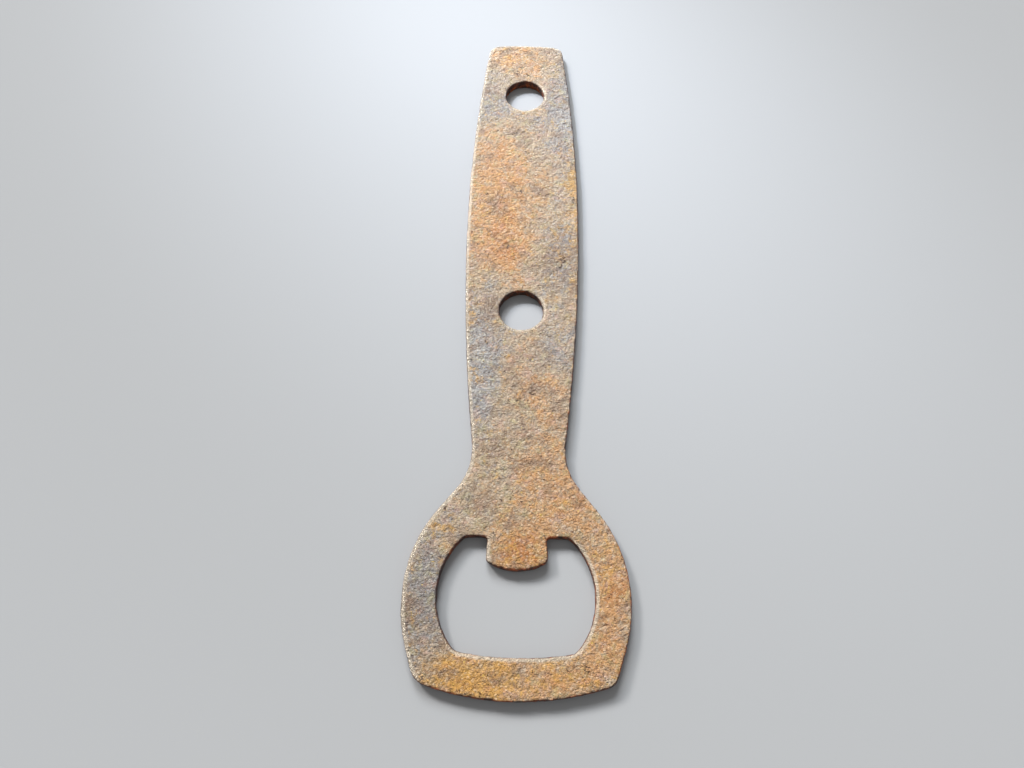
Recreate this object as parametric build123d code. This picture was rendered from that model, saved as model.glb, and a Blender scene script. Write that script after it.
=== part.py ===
from build123d import *

import os
from math import sqrt

# A one-piece steel bottle opener, cut from flat plate: a barrel-shaped tang with two round
# holes, a narrow neck, and a wide head with a crown-cap eye.
# Millimetres. The plate lies flat on its underside with the tang towards +Y.
# The outlines below measure y from the outer edge of the head's bar; the last step moves the
# origin to the middle of the plate's footprint, on the underside.

# Plate
overall_length = 168.6
plate_thickness = 2.5
edge_round = 0.35

# Head, going up its side from the bar's corner to the neck
bar_corner_half = 18.8
bar_corner_y = 3.15
left_bar_corner_radius = 4.5
right_bar_corner_radius = 2.5
heel_length = 6.5
heel_slope = 71.3
head_side_radius = 28.0
head_side_turn = 57.0
shoulder_length = 11.3

# Tang
neck_radius = 13.0
tang_widest_half = 13.7
tang_widest_y = 107.0
tang_end_half = 9.9
tang_end_crown = 0.4
tang_corner_radius = 3.2

# Rivet holes through the tang
hole_diameter = 10.0
lower_hole_y = 82.4
hole_spacing = 67.0

# Eye: a round opening for a crimped crown cap, with flat-topped pockets beside the tongue
eye_radius = 15.3
eye_centre_y = 18.8
pocket_top_y = 30.0
pocket_corner_radius = 1.6
bar_inner_y = 7.65
bar_inner_rise = 1.0
eye_corner_radius = 2.2

# Tongue that catches under the cap's skirt
tongue_root_half = 6.0
tongue_root_radius = 0.5
tongue_tip_half = 6.25
tongue_corner_y = 25.3
tongue_tip_y = 23.45
tongue_corner_radius = 1.3


def half_chord(radius, offset):
    """Half the chord of a circle at a distance from its centre."""
    return sqrt(radius**2 - offset**2)


def left_of(point):
    """The point's mirror image on the other side of the centreline."""
    return (-point[0], point[1])


def pair_at(sketch, point, tolerance=0.05):
    """The sketch's vertices at the point and at its mirror image, left one first."""
    x, y = point
    near = [v for v in sketch.vertices() if abs(abs(v.X) - x) < tolerance and abs(v.Y - y) < tolerance]
    return sorted(near, key=lambda v: v.X)


def plate_outline():
    """The whole outer outline, with its corners rounded."""
    bar_corner = (bar_corner_half, bar_corner_y)
    tang_corner = (tang_end_half, overall_length - tang_end_crown)
    with BuildSketch() as sketch:
        with BuildLine():
            heel = PolarLine(bar_corner, heel_length, heel_slope)
            side = JernArc(heel @ 1, heel % 1, head_side_radius, head_side_turn)
            shoulder = PolarLine(side @ 1, shoulder_length, direction=side % 1)
            ThreePointArc(shoulder @ 1, (tang_widest_half, tang_widest_y), tang_corner)
            mirror(about=Plane.YZ)
            ThreePointArc(left_of(bar_corner), (0, 0), bar_corner)
            ThreePointArc(left_of(tang_corner), (0, overall_length), tang_corner)
        make_face()
        neck_corner = ((shoulder @ 1).X, (shoulder @ 1).Y)
        fillet(pair_at(sketch, tang_corner), tang_corner_radius)
        fillet(pair_at(sketch, neck_corner), neck_radius)
        fillet(pair_at(sketch, bar_corner)[0], left_bar_corner_radius)
        fillet(pair_at(sketch, bar_corner)[-1], right_bar_corner_radius)
    return sketch.sketch


def eye_outline():
    """The cap opening in the head, with the tongue standing into it from above."""
    bar_end_y = bar_inner_y + bar_inner_rise
    bar_end = (half_chord(eye_radius, eye_centre_y - bar_end_y), bar_end_y)
    pocket_corner = (half_chord(eye_radius, pocket_top_y - eye_centre_y), pocket_top_y)
    tongue_root = (tongue_root_half, pocket_top_y)
    tongue_corner = (tongue_tip_half, tongue_corner_y)
    with BuildSketch() as sketch:
        with BuildLine():
            ThreePointArc(bar_end, (eye_radius, eye_centre_y), pocket_corner)
            Line(pocket_corner, tongue_root)
            Line(tongue_root, tongue_corner)
            mirror(about=Plane.YZ)
            ThreePointArc(left_of(bar_end), (0, bar_inner_y), bar_end)
            ThreePointArc(left_of(tongue_corner), (0, tongue_tip_y), tongue_corner)
        make_face()
        fillet(pair_at(sketch, bar_end), eye_corner_radius)
        fillet(pair_at(sketch, pocket_corner), pocket_corner_radius)
        fillet(pair_at(sketch, tongue_root), tongue_root_radius)
        fillet(pair_at(sketch, tongue_corner), tongue_corner_radius)
    return sketch.sketch


def rivet_holes():
    """The two holes on the tang's centreline."""
    with BuildSketch() as sketch:
        with Locations((0, lower_hole_y), (0, lower_hole_y + hole_spacing)):
            Circle(hole_diameter / 2)
    return sketch.sketch


def opener_plate():
    """The plate with its eye, its broken edges and its two holes."""
    plate = extrude(plate_outline() - eye_outline(), plate_thickness)
    rims = plate.faces().sort_by(Axis.Z)[0].edges() + plate.faces().sort_by(Axis.Z)[-1].edges()
    plate = fillet(rims, edge_round)
    plate -= extrude(rivet_holes(), plate_thickness)
    return Pos(0, -overall_length / 2, 0) * plate


parts = {"opener_plate": opener_plate()}

os.makedirs("parts", exist_ok=True)
for node, solid in parts.items():
    solid.label = node
    export_step(solid, f"parts/{node}.step")
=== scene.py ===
from math import radians

import bmesh
import bpy
import numpy as np
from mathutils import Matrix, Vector, noise


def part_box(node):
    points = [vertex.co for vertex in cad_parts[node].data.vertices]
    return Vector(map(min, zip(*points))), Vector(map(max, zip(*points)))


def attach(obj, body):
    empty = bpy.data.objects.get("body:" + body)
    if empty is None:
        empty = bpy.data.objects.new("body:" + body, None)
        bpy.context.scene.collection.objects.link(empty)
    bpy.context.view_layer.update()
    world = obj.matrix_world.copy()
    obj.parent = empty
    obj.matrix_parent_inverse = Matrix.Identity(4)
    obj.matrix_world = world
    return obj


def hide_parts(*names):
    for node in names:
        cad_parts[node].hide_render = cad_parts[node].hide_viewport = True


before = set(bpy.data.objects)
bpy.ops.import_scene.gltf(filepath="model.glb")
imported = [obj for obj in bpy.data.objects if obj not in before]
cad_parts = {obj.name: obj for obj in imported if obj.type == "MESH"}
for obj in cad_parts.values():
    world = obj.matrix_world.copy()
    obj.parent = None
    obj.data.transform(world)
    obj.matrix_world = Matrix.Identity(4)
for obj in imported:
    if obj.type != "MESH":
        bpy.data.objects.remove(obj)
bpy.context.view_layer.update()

# A rusted flat steel bottle opener, lying on a pale floor.
# The frame, camera, lights and floor are in metres. All measures of the rust are in millimetres.
MM = 0.001

plate_low, plate_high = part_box("opener_plate")
thickness = (plate_high[2] - plate_low[2]) / MM

# Camera: a wide lens held over the head, tipped towards the tang's end. Angles are in degrees.
camera_lens = 24.68
camera_sensor = 36
camera_place = (-0.00036, -0.085, 0.142)
camera_pitch = 65.3
camera_heading = 1.22
camera_near = 0.005

# Far soft lights. Azimuth is counted from +Y towards -X.
window = {"azimuth": 42, "elevation": 33, "strength": 2.52, "spread": 12, "tint": (0.99, 0.995, 1.0)}
sky_panel = {"azimuth": 10, "elevation": 40, "strength": 3.04, "spread": 26, "tint": (0.9, 0.95, 1.0)}

# A cool glow on the tang's end
glow_place = (-0.5, 0.75, 0.75)
glow_target = (-0.01, 0.09, 0)
glow_power = 84
glow_cone = 9.8
glow_radius = 0.06
glow_tint = (0.77, 0.86, 1.0)

# World: its colour at the horizon and overhead, and where the fade between them ends,
# from 0 at the horizon to 1 straight up
horizon_colour = (0.62, 0.63, 0.64, 1)
overhead_colour = (0.36, 0.37, 0.38, 1)
fade_end = 0.35

# Floor
floor_half = 30.0
floor_colour = (0.38, 0.376, 0.372, 1)
floor_roughness = 0.9

# Plate mesh
voxel = 0.32
weld_distance = 0.002

# Worn edges: how many smoothing steps give the sharpest and the roundest edges, the way the most worn rims
# face, which is about where the window light comes from and also sets the rims' painted highlight and the
# walls' painted shade, and how far towards the roundest they go outside the worn zones
sharp_steps = 4
round_steps = 42
lit_and_rubbed_side = np.array((-0.6, 0.6, 0.5))
usual_wear = 0.55

# Depths of the relief
even_depth = 0.1
slow_depth = 0.05
lump_depth = 0.19
nick_depth = 0.2
pit_depth = 0.12
depth_softness = 0.05

# Rust colours, among them a painted sheen, painted shade and painted highlights, as 0..255 display values
grey_scale = (152, 147, 143)
tan_scale = (184, 161, 134)
orange_bloom = (204, 152, 100)
deep_bloom = (186, 118, 60)
pink_tinge = (200, 158, 142)
olive_tinge = (180, 168, 118)
ochre_dust = (214, 160, 74)
ochre_fleck = (212, 176, 80)
# The next is a painted sheen, a painted reflection of the cool sky light
painted_sky_sheen = (202, 200, 196)
brown_stain = (142, 116, 94)
# The next is brown for the fine relief's hollows, partly rust and partly painted shade, and for the darker
# patches
darker_patch_and_hollow_shade = (118, 84, 60)
# The next is pale for the fine relief's crests, partly dust and partly a painted highlight
pale_crest_highlight = (228, 206, 174)
dark_granule = (104, 76, 58)
pale_granule = (240, 226, 204)
dark_pit = (70, 42, 30)
# The next is partly bare worn steel and partly a painted highlight on the rims that face the window light
rubbed_rim_and_highlight = (228, 211, 188)
# The next two darken the walls: the black is painted shade, the brown partly old rust and partly painted
# shade
black_wall_shade = (40, 14, 7)
brown_wall_rust_and_shade = (98, 42, 18)
orange_wall = (196, 96, 36)

# Zones of the top face: x, y, half-widths across and along, and strength.
# Positive strength is orange bloom, negative is bare grey-brown scale.
rust_zones = [
    (-6, 28, 8, 20, 0.54), (-5, 14, 5, 6, 0.5), (-9, 46, 5, 8, 0.2), (-4, 79, 7, 6, 0.35),
    (3, 76, 4, 6, 0.2), (10, 70, 3, 10, -0.35), (2, -20, 7, 7, 0.2), (8, -28, 5, 9, 0.2),
    (5, -43, 8, 8, 0.35), (0, -57, 7, 5, 0.9), (12, -48, 6, 7, 0.36), (18, -64, 5, 10, 0.55),
    (-9, -80, 9, 4, 0.85), (6, -81, 8, 4, 0.5), (16, -77, 5, 5, 0.3), (9, -10, 4, 10, -0.25),
    (-9, 62, 5, 9, -0.45), (11, 54, 5, 12, -0.5), (9, 14, 5, 10, -0.4), (2, 32, 5, 14, 0.05),
    (-9, -4, 5, 14, -0.35), (-9, -22, 4, 11, -0.58), (4, -14, 6, 5, -0.15), (-9, -40, 4, 8, 0.1),
    (-19, -64, 5, 12, -0.55), (-17, -77, 4, 4, -0.2), (3, -79, 3, 3, -0.15), (2, 56, 4, 5, -0.2),
]

# Zones of yellow ochre dust, as above
ochre_zones = [
    (-9, -80, 9, 5, 1.7), (8, -80, 9, 4, 0.6), (-15, -53, 4, 3, 0.7), (0, -58, 6, 3, 0.7),
    (18, -60, 3, 8, 0.5), (13, 34, 2.5, 14, 1.1), (-4, 80, 7, 4, 0.5), (-12, -5, 2, 4, 0.7),
    (-6, 24, 5, 5, 0.4), (-10, -19, 2, 2, 0.7), (12.8, 5, 1.6, 4, 0.9), (9, 16, 4, 10, 0.5),
]

# Zones where the pits crowd together, as above
pitted_zones = [
    (13.1, 30, 1.0, 2.6, 1.0), (9.6, 12, 1.2, 2.4, 1.0), (-12.3, 47, 1.1, 3.0, 0.9),
    (-0.5, 31, 1.4, 2.0, 1.0), (-3.8, 15, 2.6, 1.2, 1.0), (2.4, 42, 2.0, 2.6, 0.8),
    (-0.7, 73, 3.0, 1.2, 0.8), (1.4, -23.7, 2.4, 1.8, 1.1), (-2.5, 52, 2.6, 1.4, 0.8),
    (8.8, -54.5, 2.0, 1.2, 0.9), (-16.8, -57, 2.0, 3.0, 0.6), (3.2, -6, 3.0, 1.6, 0.7),
    (-7, -83, 4.0, 1.0, 0.8), (13, -79, 3.0, 2.0, 0.5), (-5, -34, 3.0, 2.0, 0.5),
    (20, -70, 1.4, 3.0, 0.6), (-17, -81, 4.0, 2.5, 0.6),
]

# Zones of painted sheen, a painted reflection, and of darker patches where the strength is negative, as
# above
sheen_and_darker_zones = [
    (-9, -24, 5, 7, 0.5), (-10, -11, 4, 7, 0.5), (11, 57, 4, 8, 0.5), (0, -82, 7, 3, 0.35),
    (9, 15, 5, 8, -0.55), (-20, -69, 5, 9, -0.55), (-16, -82, 6, 4, -0.5),
]

# Zones where the walls are orange, as above
wall_zones = [(-1, 66, 8, 7, 0.8), (0, -1, 7, 6, 0.2)]

# Zones where the rims are most worn, as above
worn_zones = [(-14, -44, 6, 7, 0.8), (-22, -57, 5, 9, 0.8), (-22, -70, 4, 6, 0.3)]


def make_camera():
    """Looks down on the plate from above the bar, as a hand-held camera would."""
    data = bpy.data.cameras.new("camera")
    data.lens = camera_lens
    data.sensor_width = camera_sensor
    data.clip_start = camera_near
    camera = bpy.data.objects.new("camera", data)
    camera.location = camera_place
    camera.rotation_euler = (radians(90 - camera_pitch), 0, radians(camera_heading))
    bpy.context.scene.collection.objects.link(camera)
    bpy.context.scene.camera = camera


def sun_light(name, azimuth, elevation, strength, spread, tint):
    """Soft even light from far away."""
    data = bpy.data.lights.new(name, "SUN")
    data.energy = strength
    data.angle = radians(spread)
    data.color = tint
    light = bpy.data.objects.new(name, data)
    light.rotation_euler = (radians(elevation - 90), 0, radians(azimuth))
    bpy.context.scene.collection.objects.link(light)


def glow_light():
    """A spot whose light fades all the way from its middle to its rim."""
    data = bpy.data.lights.new("glow", "SPOT")
    data.energy = glow_power
    data.spot_size = radians(glow_cone)
    data.spot_blend = 1.0
    data.shadow_soft_size = glow_radius
    data.color = glow_tint
    light = bpy.data.objects.new("glow", data)
    light.location = glow_place
    light.rotation_euler = (Vector(glow_target) - Vector(glow_place)).to_track_quat("-Z", "Y").to_euler()
    bpy.context.scene.collection.objects.link(light)


def studio_world():
    """Pale all round, and about as pale as the floor where the two meet."""
    world = bpy.data.worlds.new("world")
    world.use_nodes = True
    tree = world.node_tree
    background = tree.nodes["Background"]
    direction = tree.nodes.new("ShaderNodeTexCoord")
    parts = tree.nodes.new("ShaderNodeSeparateXYZ")
    fade = tree.nodes.new("ShaderNodeValToRGB")
    fade.color_ramp.elements[0].color = horizon_colour
    fade.color_ramp.elements[1].position = fade_end
    fade.color_ramp.elements[1].color = overhead_colour
    tree.links.new(direction.outputs["Generated"], parts.inputs[0])
    tree.links.new(parts.outputs["Z"], fade.inputs["Fac"])
    tree.links.new(fade.outputs["Color"], background.inputs["Color"])
    return world


def make_light():
    """A soft window at the back left, a cooler panel behind, and the glow on the tang's end."""
    sun_light("window", **window)
    sun_light("sky_panel", **sky_panel)
    glow_light()
    bpy.context.scene.world = studio_world()
    bpy.context.scene.view_settings.view_transform = "Standard"


class Nodes:
    """Short ways to add and join a material's nodes."""

    def __init__(self, name):
        self.material = bpy.data.materials.new(name)
        self.material.use_nodes = True
        self.tree = self.material.node_tree
        self.shader = self.tree.nodes["Principled BSDF"]

    def add(self, kind, inputs=(), **settings):
        node = self.tree.nodes.new(kind)
        for key, value in settings.items():
            setattr(node, key, value)
        for key, value in dict(inputs).items():
            self.feed(node.inputs[key], value)
        return node

    def feed(self, socket, value):
        """Links another node's output to the socket, or sets a plain value on it."""
        if isinstance(value, bpy.types.NodeSocket):
            self.tree.links.new(value, socket)
        else:
            socket.default_value = value

    def math(self, operation, a, b=0.0, c=0.0):
        return self.add("ShaderNodeMath", {0: a, 1: b, 2: c}, operation=operation).outputs[0]

    def noise(self, place, scale, detail, roughness, distortion=0.0):
        """Fractal noise around 0.5, with scale in features per millimetre."""
        fields = {"Vector": place, "Scale": scale, "Detail": detail}
        fields["Roughness"] = roughness
        fields["Distortion"] = distortion
        return self.add("ShaderNodeTexNoise", fields).outputs["Fac"]

    def span(self, value, low, high, out_low=0.0, out_high=1.0):
        """Maps low..high to out_low..out_high, smoothly, and holds the ends."""
        fields = {"Value": value, "From Min": low, "From Max": high, "To Min": out_low, "To Max": out_high}
        return self.add("ShaderNodeMapRange", fields, interpolation_type="SMOOTHSTEP").outputs["Result"]

    def mix(self, share, first, second):
        """The first colour, with a share of the second."""
        node = self.add("ShaderNodeMix", data_type="RGBA")
        self.feed(node.inputs["Factor"], share)
        first_colour, second_colour, mixed = 6, 7, 2
        self.feed(node.inputs[first_colour], first)
        self.feed(node.inputs[second_colour], second)
        return node.outputs[mixed]

    def moved(self, place, distance):
        """The same place, shifted, so that a second noise has a pattern of its own."""
        shift = (distance, distance, distance)
        return self.add("ShaderNodeVectorMath", {0: place, 1: shift}).outputs[0]

    def scaled(self, vector, factor):
        fields = {0: vector, "Scale": factor}
        return self.add("ShaderNodeVectorMath", fields, operation="SCALE").outputs[0]

    def bent(self, place, amount, scale):
        """The place, bent this way and that by a noise, in millimetres."""
        wobble = self.add("ShaderNodeTexNoise", {"Vector": place, "Scale": scale, "Detail": 2.0})
        fields = {0: wobble.outputs["Color"], 1: (0.5, 0.5, 0.5)}
        centred = self.add("ShaderNodeVectorMath", fields, operation="SUBTRACT").outputs[0]
        return self.add("ShaderNodeVectorMath", {0: place, 1: self.scaled(centred, amount)}).outputs[0]

    def shifted(self, fractal, share, value):
        """A value moved up and down by a share of a noise that lies around 0.5."""
        return self.math("MULTIPLY_ADD", self.math("SUBTRACT", fractal, 0.5), share, value)

    def attribute(self, name):
        return self.add("ShaderNodeAttribute", attribute_name=name).outputs["Fac"]


def colour(display):
    """A linear colour from three 0..255 display values."""
    parts = [value / 255 for value in display]
    return tuple(v / 12.92 if v <= 0.04045 else ((v + 0.055) / 1.055) ** 2.4 for v in parts) + (1.0,)


def rust_material():
    """Sandy brown rust over grey steel, with bloom, painted sheen, ochre, pits, worn rims with a painted
    highlight, and dark walls partly of painted shade.
    """
    m = Nodes("rusted_steel")
    spot = m.add("ShaderNodeTexCoord").outputs["Object"]
    place = m.scaled(spot, 1 / MM)
    blotch = m.noise(place, scale=0.28, detail=6, roughness=0.68, distortion=0.4)
    stain = m.noise(m.moved(place, 40), scale=0.2, detail=5, roughness=0.66, distortion=0.6)
    mottle = m.noise(place, scale=0.8, detail=4, roughness=0.66)
    grain = m.noise(place, scale=1.8, detail=4, roughness=0.72)
    dust = m.noise(place, scale=4.2, detail=2, roughness=0.6)
    fleck = m.noise(m.moved(place, 65), scale=1.3, detail=2, roughness=0.5)
    tinge = m.noise(m.moved(place, 130), scale=0.45, detail=4, roughness=0.66)
    granules = m.add("ShaderNodeTexVoronoi", {"Vector": m.bent(place, amount=0.26, scale=2.2), "Scale": 2.1})
    tints = m.add("ShaderNodeSeparateColor", {"Color": granules.outputs["Color"]})
    tone, hue = tints.outputs[0], tints.outputs[1]
    pit_noise = m.noise(m.moved(place, 90), scale=1.1, detail=4, roughness=0.66, distortion=0.4)
    pit = m.span(m.math("MULTIPLY_ADD", m.attribute("pitted"), -0.1, pit_noise), 0.355, 0.3)

    # How orange each point is: the zone, broken up by blotches, mottling, dust and granules
    warm = m.shifted(blotch, 1.5, m.attribute("bloom"))
    warm = m.shifted(mottle, 0.8, warm)
    warm = m.shifted(dust, 0.5, warm)
    warm = m.shifted(hue, 0.2, warm)
    base = m.mix(m.span(warm, 0.05, 0.5), colour(grey_scale), colour(tan_scale))
    base = m.mix(m.span(warm, 0.5, 1.0), base, colour(orange_bloom))
    base = m.mix(m.span(warm, 0.95, 1.4, 0, 0.85), base, colour(deep_bloom))
    base = m.mix(m.span(tinge, 0.53, 0.68, 0, 0.45), base, colour(pink_tinge))
    base = m.mix(m.span(tinge, 0.47, 0.32, 0, 0.45), base, colour(olive_tinge))

    # Painted sheen, a painted reflection of the sky, where pale is positive, and darker patches where it is
    # negative, both laid on patchily
    patchy = m.span(mottle, 0.3, 0.7, 0.3, 1.7)
    pale = m.math("MULTIPLY", m.attribute("pale"), patchy)
    base = m.mix(m.span(pale, 0.0, 1.0, 0, 0.5), base, colour(painted_sky_sheen))
    base = m.mix(m.span(pale, 0.0, -1.0, 0, 0.5), base, colour(darker_patch_and_hollow_shade))

    # Ochre dust and flecks, brown stains, brown hollows and paler crests that are partly painted shade and
    # painted highlight, mixed granules and dark pits
    ochre_noise = m.noise(place, scale=0.6, detail=5, roughness=0.75, distortion=0.3)
    ochre = m.math("MULTIPLY_ADD", m.attribute("ochre"), 0.16, ochre_noise)
    base = m.mix(m.span(ochre, 0.54, 0.74, 0, 0.75), base, colour(ochre_dust))
    base = m.mix(m.span(stain, 0.53, 0.3, 0, 0.85), base, colour(brown_stain))
    base = m.mix(m.span(fleck, 0.69, 0.76, 0, 0.8), base, colour(ochre_fleck))
    # shade is the fine relief's height: its hollows get painted shade and its crests a painted highlight,
    # partly brown rust and pale dust
    shade = m.math("ADD", m.math("MULTIPLY", grain, 0.6), m.math("MULTIPLY", dust, 0.4))
    base = m.mix(m.span(shade, 0.5, 0.34, 0, 0.6), base, colour(darker_patch_and_hollow_shade))
    base = m.mix(m.span(shade, 0.54, 0.68, 0, 0.42), base, colour(pale_crest_highlight))
    base = m.mix(m.span(tone, 0.35, 0.0, 0, 0.26), base, colour(dark_granule))
    base = m.mix(m.span(tone, 0.7, 1.0, 0, 0.22), base, colour(pale_granule))
    base = m.mix(m.math("MULTIPLY", pit, 0.85), base, colour(dark_pit))

    # Rims worn nearly bare, with a painted highlight where they face the window light, and walls dark partly
    # with old rust and partly with painted shade, most where they face away from that light
    rim = m.span(m.shifted(mottle, 0.12, m.attribute("rim")), 0.15, 0.36)
    base = m.mix(m.math("MULTIPLY", rim, 0.7), base, colour(rubbed_rim_and_highlight))
    wall_rust_and_shade = m.mix(m.span(warm, 0.4, 1.1), colour(brown_wall_rust_and_shade), colour(orange_wall))
    wall = m.mix(m.span(mottle, 0.35, 0.7), colour(black_wall_shade), wall_rust_and_shade)
    base = m.mix(m.math("MULTIPLY", m.attribute("side_for_painted_shade"), 0.95), base, wall)
    m.feed(m.shader.inputs["Base Color"], base)
    m.feed(m.shader.inputs["Metallic"], m.math("MULTIPLY", rim, 0.4))

    # Orange rust is duller than scale, and rubbed rims are the smoothest
    rough = m.span(warm, 0.1, 1.1, 0.4, 0.62)
    rough = m.shifted(grain, 0.3, rough)
    rough = m.math("MULTIPLY_ADD", rim, -0.2, rough)
    m.feed(m.shader.inputs["Roughness"], rough)

    # Fine relief that the mesh is too coarse for
    height = m.shifted(grain, 0.54, m.math("MULTIPLY", pit, -0.25))
    height = m.shifted(dust, 0.3, height)
    height = m.math("MULTIPLY_ADD", granules.outputs["Distance"], -0.25, height)
    height = m.shifted(tone, 0.11, height)
    height = m.shifted(mottle, 0.62, height)
    bump = m.add("ShaderNodeBump", {"Strength": 1.0, "Distance": MM, "Height": height})
    m.feed(m.shader.inputs["Normal"], bump.outputs[0])
    return m.material


def floor_material():
    m = Nodes("pale_floor")
    m.feed(m.shader.inputs["Base Color"], floor_colour)
    m.feed(m.shader.inputs["Roughness"], floor_roughness)
    return m.material


def make_floor():
    """A plain pale sheet under the plate."""
    corners = [(-1, -1), (1, -1), (1, 1), (-1, 1)]
    mesh = bpy.data.meshes.new("floor")
    mesh.from_pydata([(x * floor_half, y * floor_half, 0) for x, y in corners], [], [(0, 1, 2, 3)])
    mesh.materials.append(floor_material())
    floor = bpy.data.objects.new("floor", mesh)
    bpy.context.scene.collection.objects.link(floor)


def blank_plate():
    """The CAD plate's shape as a fine, even mesh of its own, welded and remeshed."""
    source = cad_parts["opener_plate"]
    mesh = source.data.copy()
    mesh.transform(source.matrix_world)
    bm = bmesh.new()
    bm.from_mesh(mesh)
    bmesh.ops.remove_doubles(bm, verts=bm.verts, dist=weld_distance * MM)
    bm.to_mesh(mesh)
    bm.free()
    mesh.materials.clear()
    plate = bpy.data.objects.new("rusted_plate", mesh)
    bpy.context.scene.collection.objects.link(plate)
    remesh = plate.modifiers.new("remesh", "REMESH")
    remesh.mode = "VOXEL"
    remesh.voxel_size = voxel * MM
    remesh.adaptivity = 0
    fine = bpy.data.meshes.new_from_object(plate.evaluated_get(bpy.context.evaluated_depsgraph_get()))
    plate.modifiers.clear()
    plate.data = fine
    return plate


def read_points(mesh):
    points = np.empty(len(mesh.vertices) * 3)
    mesh.vertices.foreach_get("co", points)
    return points.reshape(-1, 3) / MM


def read_normals(mesh):
    normals = np.empty(len(mesh.vertices) * 3)
    mesh.vertex_normals.foreach_get("vector", normals)
    return normals.reshape(-1, 3)


def read_edges(mesh):
    pairs = np.empty(len(mesh.edges) * 2, dtype=np.int64)
    mesh.edges.foreach_get("vertices", pairs)
    return pairs.reshape(-1, 2)


def write_points(mesh, points):
    mesh.vertices.foreach_set("co", (points * MM).ravel())
    mesh.update()


def write_layer(mesh, name, values):
    """Keeps one value for each vertex under a name that the material reads."""
    layer = mesh.attributes.new(name, "FLOAT", "POINT")
    layer.data.foreach_set("value", values.astype(np.float32).ravel())


def smoothed(values, pairs, steps):
    """Values after so many steps of averaging each vertex with its neighbours."""
    count = np.bincount(pairs.ravel(), minlength=len(values))[:, None]
    values = values.reshape(len(values), -1)
    for _ in range(steps):
        total = np.zeros_like(values)
        for column in range(values.shape[1]):
            total[:, column] = np.bincount(pairs[:, 0], values[pairs[:, 1], column], len(values))
            total[:, column] += np.bincount(pairs[:, 1], values[pairs[:, 0], column], len(values))
        values = 0.5 * values + 0.5 * total / count
    return values


def fractal(points, scale, octaves, seed):
    """Fractal noise around 0, about -1 to 1, with scale in features per millimetre."""
    shift = Vector((seed, -seed, 0.5 * seed))
    return np.array([noise.fractal(Vector(p) * scale + shift, 0.9, 2.1, octaves) for p in points])


def ramp(values, low, high):
    """Rises smoothly from 0 at low to 1 at high."""
    share = np.clip((values - low) / (high - low), 0, 1)
    return share * share * (3 - 2 * share)


def zones_at(points, zones, bend, scale, seeds):
    """The sum of soft oval zones whose outlines a noise has bent."""
    bent_x = points[:, 0] + bend * fractal(points, scale, octaves=3, seed=seeds[0])
    bent_y = points[:, 1] + bend * fractal(points, scale, octaves=3, seed=seeds[1])
    total = np.zeros(len(points))
    for x, y, across, along, strength in zones:
        total += strength * np.exp(-(((bent_x - x) / across) ** 2) - ((bent_y - y) / along) ** 2)
    return total


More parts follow.
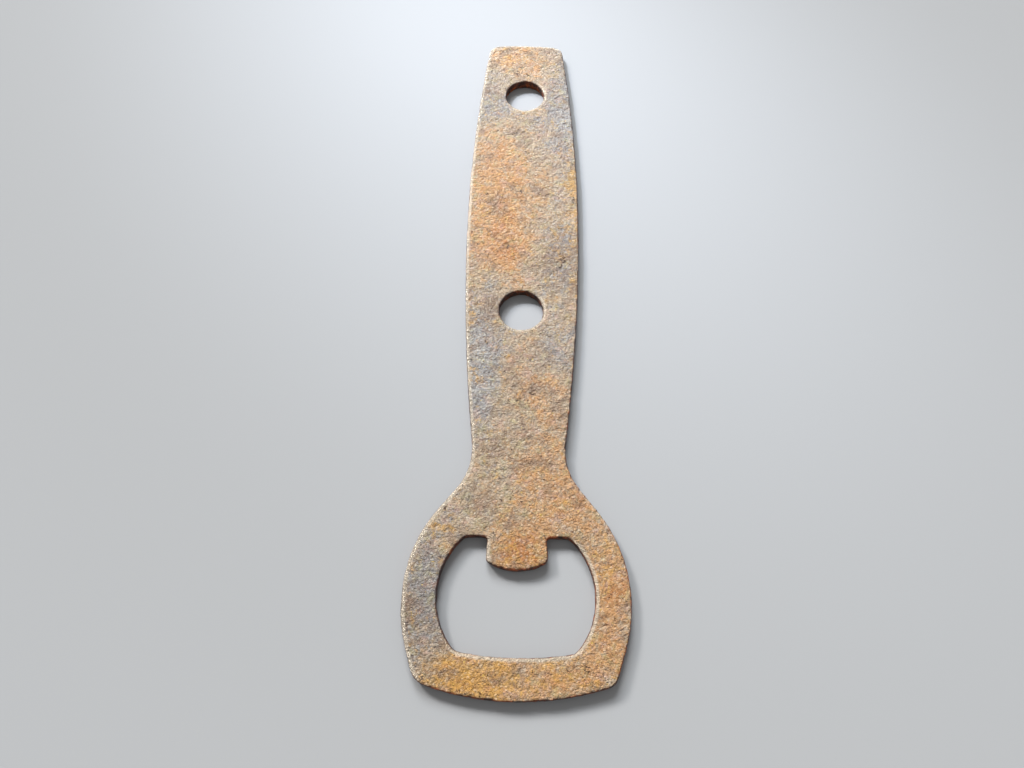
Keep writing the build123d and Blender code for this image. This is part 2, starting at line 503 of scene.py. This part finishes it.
def rust_plate():
    """Wears and pits the plate's mesh, and keeps the values that its material reads."""
    plate = blank_plate()
    mesh = plate.data
    pairs = read_edges(mesh)
    flat = read_points(mesh)

    # Worn edges: rounder on the left and back rims, and in some stretches more than in others
    little = smoothed(flat, pairs, sharp_steps)
    much = smoothed(little, pairs, round_steps - sharp_steps)
    pulled = np.linalg.norm(flat - much, axis=1)
    lit_and_rubbed = ramp(((flat - much) @ lit_and_rubbed_side) / pulled.clip(1e-6), 0.1, 0.6)
    stretches = ramp(fractal(flat, scale=0.09, octaves=3, seed=5.0), -0.5, 0.5)
    worn = zones_at(flat, worn_zones, bend=1.0, scale=0.3, seeds=(43.0, 47.0))
    wear = usual_wear * lit_and_rubbed * (0.4 + 0.6 * stretches + worn)
    points = little + (much - little) * wear.clip(0, 1)[:, None]
    # The rim colour's share: a little on every rim, mostly on the rims facing the window light, where it is
    # a painted highlight
    rim = pulled * (0.15 + 0.85 * lit_and_rubbed) * (1 + 0.5 * worn)
    write_points(mesh, points)
    normals = read_normals(mesh)
    upright = np.linalg.norm(normals[:, :2], axis=1)
    # The walls' dark colour, held back where they face the window light: painted shade
    side_for_painted_shade = ramp(upright - 0.38 * ramp(normals @ lit_and_rubbed_side, 0, 0.4), 0.4, 0.66)

    # Relief: slow unevenness, lumps of scale, pits, and nicked sides, all inside the CAD faces
    calm = 1 - 0.65 * ramp(upright, 0.3, 0.8)
    slow = slow_depth * fractal(flat, scale=0.07, octaves=2, seed=3.0)
    lumps = lump_depth * fractal(flat, scale=0.9, octaves=3, seed=17.0) * calm
    nicks = nick_depth * ramp(fractal(flat, scale=0.35, octaves=4, seed=29.0), 0.1, 0.9) * side_for_painted_shade
    pits = pit_depth * ramp(fractal(flat, scale=0.5, octaves=4, seed=53.0), 0.42, 0.75)
    depth = even_depth * calm + slow + lumps + pits + nicks
    depth = 0.5 * (depth + np.sqrt(depth**2 + depth_softness**2))
    write_points(mesh, points - normals * depth[:, None])

    # Where the material blooms, yellows, takes painted sheen and darker patches, pits, is worn bare with a
    # painted highlight, and turns to wall with painted shade
    top = ramp(flat[:, 2], 0.2 * thickness, 0.8 * thickness)
    walls = 0.45 * fractal(flat, scale=0.05, octaves=3, seed=71.0)
    walls = walls + zones_at(flat, wall_zones, bend=1.0, scale=0.3, seeds=(61.0, 67.0))
    bloom = zones_at(flat, rust_zones, bend=2.2, scale=0.12, seeds=(11.0, 37.0))
    ochre = zones_at(flat, ochre_zones, bend=1.5, scale=0.2, seeds=(91.0, 83.0))
    # pale: painted sheen where positive, darker where negative
    pale = zones_at(flat, sheen_and_darker_zones, bend=1.0, scale=0.3, seeds=(101.0, 107.0))
    pitted = zones_at(flat, pitted_zones, bend=1.0, scale=0.4, seeds=(19.0, 23.0))
    write_layer(mesh, "bloom", 0.5 + (1 - top) * walls + top * bloom)
    write_layer(mesh, "ochre", top * ochre)
    write_layer(mesh, "pale", top * pale)
    write_layer(mesh, "pitted", top * pitted)
    write_layer(mesh, "rim", rim)
    write_layer(mesh, "side_for_painted_shade", side_for_painted_shade)
    for face in mesh.polygons:
        face.use_smooth = True
    mesh.materials.append(rust_material())
    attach(plate, "root")
    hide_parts("opener_plate")


make_camera()
make_light()
make_floor()
rust_plate()
